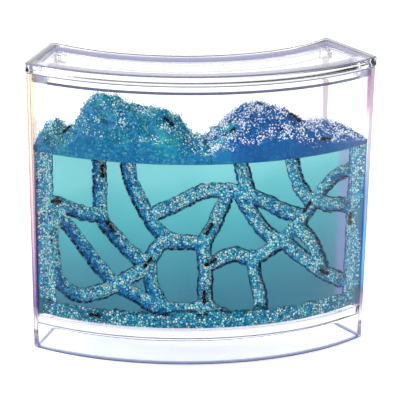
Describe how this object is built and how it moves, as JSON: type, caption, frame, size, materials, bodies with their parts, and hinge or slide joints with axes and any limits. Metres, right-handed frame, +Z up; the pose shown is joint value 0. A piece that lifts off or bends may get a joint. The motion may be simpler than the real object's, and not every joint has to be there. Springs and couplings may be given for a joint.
{
  "type": "ant habitat",
  "caption": "Curved clear ant habitat with a lift-off lid, a raised floor over an open skirt, tunnelled blue gel, heaped gel crumbs and ants.",
  "frame": {"origin": "centre of the footprint's bounding box, on the table", "axes": "+X to the viewer's right, +Y away from the viewer through the hollow back, +Z up; the bulging front faces -Y"},
  "size_m": [0.1792, 0.0868, 0.15],
  "materials": {
    "clear_plastic": "clear moulded polystyrene, polished",
    "gel": "set translucent gel, wet gloss",
    "gel_crumbs": "crumbled gel, damp",
    "bed_crumbs": "crumbled gel, damp",
    "ant": "black polished shell"
  },
  "bodies": {
    "tank": {"tank": "clear_plastic", "gel_block": "gel", "crumb_heap_left": "gel_crumbs", "crumb_heap_right": "gel_crumbs", "crumb_bed": "bed_crumbs", "tunnel_ant_1": "ant", "tunnel_ant_2": "ant", "tunnel_ant_3": "ant", "tunnel_ant_4": "ant", "tunnel_ant_5": "ant", "tunnel_ant_6": "ant", "tunnel_ant_7": "ant", "tunnel_ant_8": "ant", "tunnel_ant_9": "ant", "tunnel_ant_10": "ant", "bed_ant_1": "ant", "heap_ant_1": "ant", "heap_ant_2": "ant", "heap_ant_3": "ant", "heap_ant_4": "ant", "heap_ant_5": "ant"},
    "lid": {"lid": "clear_plastic"}
  },
  "joints": [
    {"name": "lid_lift", "type": "slide", "parent": "tank", "child": "lid", "axis": [0, 0, 1], "range_m": [0, 0.06]}
  ]
}
